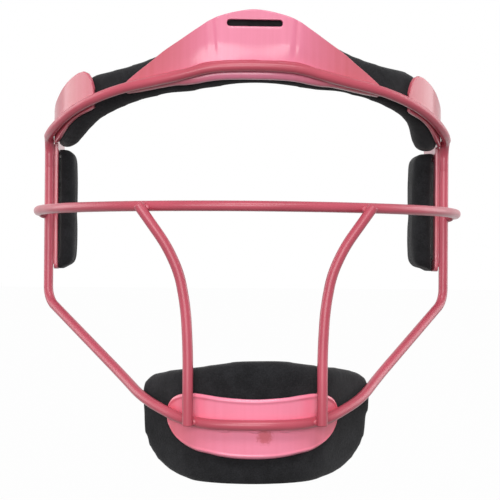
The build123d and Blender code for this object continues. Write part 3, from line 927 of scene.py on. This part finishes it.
# %% The brow seam
def wander(s, *waves):
    """A line that strays: a sum of sines, each with its count along the line and its size."""
    return sum(size * np.sin(count * s + 1.7 * count) for count, size in waves)


def make_brow_seam():
    """From the wire's crown to the sheet the inset runs as t to the 0.8, and the lift as t to the 2.2."""
    seam_end = 37.3
    degrees = np.linspace(-seam_end, seam_end, 220)
    angle = np.radians(degrees)
    t = np.linspace(0, 1, 11)
    stray = wander(angle, (31, 0.12), (53, 0.08), (97, 0.05)) * millimetre
    top = 1.55 * wire_radius + stray
    lean = np.tan(brow_lean) * np.cos(angle)
    seat = plate_front + weld_bite + top * lean - panel_relief(half_width * np.sin(angle), top)
    seat, top = seat[:, None], top[:, None]
    start_inset, start_lift = -0.62 * wire_radius, 0.77 * wire_radius
    inset = start_inset + (seat - start_inset) * t**0.8
    lift = start_lift + (top - start_lift) * t**2.2
    inset = np.concatenate([inset, seat, 0 * seat + 0.2 * wire_radius], 1)
    lift = np.concatenate([lift, 0 * top, 0 * top + 0.1 * wire_radius], 1)
    spot = beside(brow_curve, angle, inset, brow_level(degrees)[:, None] + lift)
    return closed_piece("brow_fillet", spot)


brow_fillet = make_brow_seam()
settle(brow_fillet, "cage", "weld", weld_coat_painted_darker, "brow_seam_weld")

# %% [markdown]
# The pads are foam in a cloth cover. Each starts as a plain rounded bar along its line, in the space of the
# measured solid. Then Blender's cloth simulation blows it up gently: the skin bulges and pulls in as a
# stuffed cover does. How far a point may move is capped, so the pad stays in its place.


# %% Sizes of the pads
forehead_pad_shares = [
    (0, 1.06, 1.03, 1), (6, 1.06, 1.1, 1), (9, 1.03, 1.16, 1), (12, 0.97, 1.18, 1),
    (15, 0.88, 1.08, 1), (18, 0.81, 0.98, 1), (25, 0.7, 0.66, 1), (33, 0.596, 0.6, 1),
    (40, 0.575, 0.6, 1), (48, 0.64, 0.62, 1), (55, 0.72, 0.62, 1), (60, 0.73, 0.7, 1),
    (67, 0.72, 0.85, 1), (75, 0.64, 1.02, 0.95), (83, 0.47, 0.87, 0.9), (88, 0.38, 0.73, 0.84),
    (90, 0.3, 0.69, 0.78),
]
chin_pad_shares = [
    (0, 1.01, 1.01, 1), (12, 1, 1, 1), (24, 0.95, 0.99, 1), (34, 0.9, 0.97, 1),
    (45, 0.85, 0.935, 1), (53, 0.805, 0.875, 1), (60, 0.75, 0.77, 1), (65, 0.7, 0.62, 0.95),
    (68, 0.6, 0.45, 0.75), (69.5, 0.48, 0.25, 0.45),
]
cheek_pad_shares = [
    (0, 0.6, 0.86), (0.02, 0.82, 0.94), (0.07, 0.98, 0.99), (0.22, 1, 1), (0.36, 0.99, 1),
    (0.46, 0.94, 1), (0.56, 0.99, 1), (0.74, 1, 1), (0.93, 0.98, 0.99), (0.98, 0.82, 0.94),
    (1, 0.6, 0.86),
]
glue_gap, patch_thickness, pad_gap = 0.08 * millimetre, 1 * millimetre, 0.25 * millimetre
pad_front = plate_back + glue_gap + patch_thickness + pad_gap
face_room, face_close = 0.05 * millimetre, 1.1 * millimetre
edge_swell = 0.35 * millimetre
swell_cap = 0.45 * millimetre
print("pads start", round(pad_front / millimetre, 2), "mm inside the middle of the wire")


# %% Sections of a pad
def rounded_section(depth, height, corners=10, straight=12):
    """A rectangle with round corners, as offsets across and up from its middle for each column."""
    quarter = np.linspace(0, np.pi / 2, corners)
    hold, slide = np.ones(corners), np.linspace(1, -1, straight + 2)[1:-1]
    turn = np.append(quarter, np.full(straight, np.pi / 2)) + np.arange(4)[:, None] * np.pi / 2
    turn = turn.ravel()
    even, level = np.append(hold, slide), np.ones(corners + straight)
    side_x = np.concatenate([even, -level, -even, level])
    side_y = np.concatenate([level, even, -level, -even])
    radius = 0.44 * np.minimum(depth, height)[:, None]
    across = side_x * (depth[:, None] / 2 - radius) + radius * np.cos(turn)
    upward = side_y * (height[:, None] / 2 - radius) + radius * np.sin(turn)
    return across, upward


def make_curved_pad(name, curve, radius, lean, level, base, shares, *, rise, skirt, thickness, columns,
                    bare_from, longer, aside=0, tilt=0, fuller=0):
    """A pad that follows a line: rounded sections that tip with the plate in front of them.

    Its end columns stand longer past its last angle. Beyond bare_from, where no patch is, it comes closer
    to the plate. Tilt raises one side, and fuller thickens one end on the inside.
    """
    last = shares[-1][0]
    degrees = np.linspace(-last, last, columns)
    angle = np.radians(degrees) * (1 + longer / (radius * np.radians(last))) + aside / radius
    high_share, low_share, thick_share = smooth_through(degrees, shares)
    high, low = rise * high_share + edge_swell, -skirt * low_share - edge_swell
    close = face_close * ease((np.abs(degrees) - bare_from) / 8)
    depth = thickness * thick_share - face_room + close
    point, inward = curve(angle)
    tip = lean(angle)
    upward = unit(inward * tip[:, None] + [0, 0, 1])
    across = unit(inward - tip[:, None] * [0, 0, 1])
    middle = base(degrees) + (high + low) / 2
    centre = point + inward * (pad_front - close + depth / 2 + (middle - level(degrees)) * tip)[:, None]
    centre[:, 2] += middle + tilt * point[:, 0] * (1 - ease((np.abs(degrees) - 60) / 22))
    thick, tall = rounded_section(depth, high - low)
    inside = ease(0.5 + thick / depth[:, None]) * (0.25 + 0.75 * (0.5 + tall / (high - low)[:, None]))
    thick = thick + fuller * ease((degrees - 60) / 18)[:, None] * inside
    spot = centre[:, None, :] + across[:, None, :] * thick[..., None] + upward[:, None, :] * tall[..., None]
    return closed_piece(name, spot)


# %% The shape of a cheek pad
def make_cheek_pad(name, thinner):
    """Rounded sections stacked from foot to top, whose outer face closes round the hook patch as a rim."""
    low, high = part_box("right_cheek_pad_cover")
    top_longer, foot_longer = 0.9 * millimetre, 2.8 * millimetre
    rim_thick, corner_thick, rim_ease = 1.05 * millimetre, 0.35 * millimetre, 2 * millimetre
    t = np.linspace(0, 1, 60)
    rows = np.array(cheek_pad_shares)
    thick_share, wide_share = (np.interp(t, rows[:, 0], rows[:, i]) for i in (1, 2))
    outer = half_width - pad_front
    depth = (outer - low.x - thinner) * thick_share
    thick, wide = rounded_section(depth, (high.y - low.y) * wide_share)
    depth = depth[:, None]
    patch_low, patch_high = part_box("right_side_hook_patch")
    patch = (patch_high - patch_low) / 2
    z = low.z + (high.z - low.z) * t[:, None]
    past = np.maximum(np.abs(wide) - patch.y, np.abs(z - (low.z + high.z) / 2) - patch.z)
    corner = ease((np.abs(t - 0.5) - 0.4) / 0.08)[:, None]
    rim = (rim_thick + corner_thick * corner) * ease(past / rim_ease - 0.3) * ease(0.5 + thick / depth)
    longer = top_longer * ease((t - 0.9) / 0.1) - foot_longer * ease((0.1 - t) / 0.1)
    spot = np.stack([
        outer - depth / 2 + thick + rim,
        (low.y + high.y) / 2 + wide,
        z + longer[:, None] * ease(thick / depth / 0.4),
    ], -1)
    return closed_piece(name, spot)


# %% Blow a pad up as cloth
def swell(piece, voxel, pressure=4, frames=20):
    """Remeshes a pad evenly, inflates it as cloth, caps each point's move and keeps the result."""
    even = piece.modifiers.new("even", "REMESH")
    even.mode = "VOXEL"
    even.voxel_size = voxel
    soften = piece.modifiers.new("soften", "SMOOTH")
    soften.factor = 0.5
    soften.iterations = 6
    graph = bpy.context.evaluated_depsgraph_get()
    mesh = bpy.data.meshes.new_from_object(piece.evaluated_get(graph))
    piece.modifiers.clear()
    piece.data = mesh
    start = np.empty(len(mesh.vertices) * 3, np.float32)
    mesh.vertices.foreach_get("co", start)
    cloth = piece.modifiers.new("stuffing", "CLOTH")
    cloth.settings.use_pressure = True
    cloth.settings.uniform_pressure_force = pressure
    cloth.settings.effector_weights.gravity = 0
    cloth.point_cache.frame_end = frames
    for step in range(1, frames + 1):
        bpy.context.scene.frame_set(step)
    graph = bpy.context.evaluated_depsgraph_get()
    blown = piece.evaluated_get(graph).to_mesh()
    after = np.empty_like(start)
    blown.vertices.foreach_get("co", after)
    piece.modifiers.clear()
    bpy.context.scene.frame_set(1)
    move = (after - start).reshape(-1, 3)
    far = np.linalg.norm(move, axis=1, keepdims=True)
    move = move * np.minimum(1, swell_cap / np.maximum(far, 1e-9))
    mesh.vertices.foreach_set("co", start + move.ravel())
    mesh.shade_smooth()
    mesh.update()
    print(piece.name, "swelled by up to", round(float(far.max()) / millimetre, 2), "mm before the cap")


def finish_pad(piece, voxel, body, *replaced):
    """Simulates the cover, adds one subdivision and settles the pad on its body."""
    swell(piece, voxel)
    smooth = piece.modifiers.new("smooth", "SUBSURF")
    smooth.levels = smooth.render_levels = 1
    settle(piece, body, "pad_cover", pad_cloth, *replaced)


# %% The four pads
forehead_cushion = make_curved_pad(
    "forehead_cushion", brow_curve, half_width, lambda angle: np.tan(brow_lean) * np.cos(angle),
    brow_level, brow_level, forehead_pad_shares, rise=24.5 * millimetre, skirt=6.6 * millimetre,
    thickness=10 * millimetre, columns=240, bare_from=34, longer=0.2 * millimetre, tilt=0.021,
    fuller=5.4 * millimetre,
)
chin_cushion = make_curved_pad(
    "chin_cushion", chin_curve, chin_radius, lambda angle: np.tan(chin_lean) + 0 * angle,
    chin_level, lambda degrees: -chin_depth + 0 * degrees, chin_pad_shares, rise=28.2 * millimetre,
    skirt=29.4 * millimetre, thickness=12 * millimetre, columns=160, bare_from=90,
    longer=1.8 * millimetre, aside=3.3 * millimetre, tilt=0.006,
)
right_thinner, left_thinner = 1.1 * millimetre, 3.9 * millimetre
right_cheek_cushion = make_cheek_pad("right_cheek_cushion", right_thinner)
left_form = make_cheek_pad("left_cheek_form", left_thinner)
left_cheek_cushion = mirrored(left_form, "left_cheek_cushion")
bpy.data.objects.remove(left_form)
wide_weave, fine_weave = 2.0 * millimetre, 1.4 * millimetre
finish_pad(forehead_cushion, wide_weave, "forehead_pad", "forehead_pad_cover", "forehead_pad_foam")
finish_pad(chin_cushion, wide_weave, "chin_pad", "chin_pad_cover", "chin_pad_foam")
for side, cushion in (("right", right_cheek_cushion), ("left", left_cheek_cushion)):
    pad = side + "_cheek_pad"
    finish_pad(cushion, fine_weave, pad, pad + "_cover", pad + "_foam")

# %% [markdown]
# The picture was taken from a little below the eye bar and a little towards the wearer's right, from about
# 0.7 m with a long lens. The object stands on a white floor in a white room. White is given to camera,
# mirror and clear rays alone, through Light Path, so the room looks white and shines white in the coat
# without flooding the paint with light.


# %% The camera
focal_length = 97.27
camera_place = (-0.02998, -0.70071, -0.02359)
camera_turn, camera_tilt, camera_roll = np.radians((-2.564, 90.372, 0.452))
camera_data = bpy.data.cameras.new("camera")
camera_data.lens = focal_length
camera_data.sensor_width = 36
camera = shown("camera", camera_data)
camera.location = camera_place
aim = Matrix.Rotation(camera_turn, 3, "Z") @ Matrix.Rotation(camera_tilt, 3, "X")
camera.rotation_euler = (aim @ Matrix.Rotation(camera_roll, 3, "Z")).to_euler()
bpy.context.scene.camera = camera
print("camera", camera_place, "lens", focal_length)


# %% The floor and the room
def white_where_seen(tree, lit, bright, share):
    """Shows a share of the bright shader to the camera and in mirror-like or clear surfaces."""
    kinds = ("Is Camera Ray", "Is Glossy Ray", "Is Transmission Ray")
    ray, mirror, clear = [tree.node("ShaderNodeLightPath", output=kind) for kind in kinds]
    either = ray.maths("MAXIMUM", ray, mirror)
    seen = either.maths("MAXIMUM", either, clear)
    return tree.node("ShaderNodeMixShader", {}, {0: seen * share, 1: lit, 2: bright})


floor_half = 4.0
floor_grey, floor_white, room_fill = 0.15, 0.985, 0.1
white = (1, 1, 1, 1)
floor_mesh = bpy.data.meshes.new("floor")
floor_corners = [(x * floor_half, y * floor_half, cad_low.z) for x, y in ((-1, -1), (1, -1), (1, 1), (-1, 1))]
floor_mesh.from_pydata(floor_corners, [], [(0, 1, 2, 3)])
shown("floor", floor_mesh)
paint = NodeTree(bpy.data.materials.new("white_floor"))
matt = paint.node("ShaderNodeBsdfDiffuse", {}, {"Color": (floor_grey, floor_grey, floor_grey, 1)})
glow = paint.node("ShaderNodeEmission")
paint.node("ShaderNodeOutputMaterial", {}, {"Surface": white_where_seen(paint, matt, glow, floor_white)})
floor_mesh.materials.append(paint.owner)

bpy.context.scene.world = bpy.data.worlds.new("room")
room = NodeTree(bpy.context.scene.world)
fill = room.node("ShaderNodeBackground", {}, {"Color": white, "Strength": room_fill})
plain = room.node("ShaderNodeBackground", {}, {"Color": white})
room.node("ShaderNodeOutputWorld", {}, {"Surface": white_where_seen(room, fill, plain, 1.0)})
print("floor", 2 * floor_half, "m wide, at height", round(cad_low.z, 4))


# %% The soft boxes
def lamp(name, place, width, height, watts):
    """A soft box: a rectangular lamp that faces the middle of the guard."""
    data = bpy.data.lights.new(name, "AREA")
    data.shape = "RECTANGLE"
    data.size = width
    data.size_y = height
    data.energy = watts
    box = shown(name, data)
    box.location = place
    box.rotation_mode = "QUATERNION"
    box.rotation_quaternion = (-Vector(place)).to_track_quat("-Z", "Y")
    print(name, watts, "W")


lamp("key_box", (-0.3, -1.9, 0.3), 1.4, 0.9, 25)
lamp("high_box", (0.1, -1.35, 1.4), 1.1, 0.5, 18)
lamp("left_back_box", (-1.5, 0.3, 0.4), 1.2, 1.2, 12)
lamp("right_back_box", (1.5, 0.3, 0.4), 1.2, 1.2, 12)

# %% Finish
bpy.context.scene.view_settings.view_transform = "Standard"
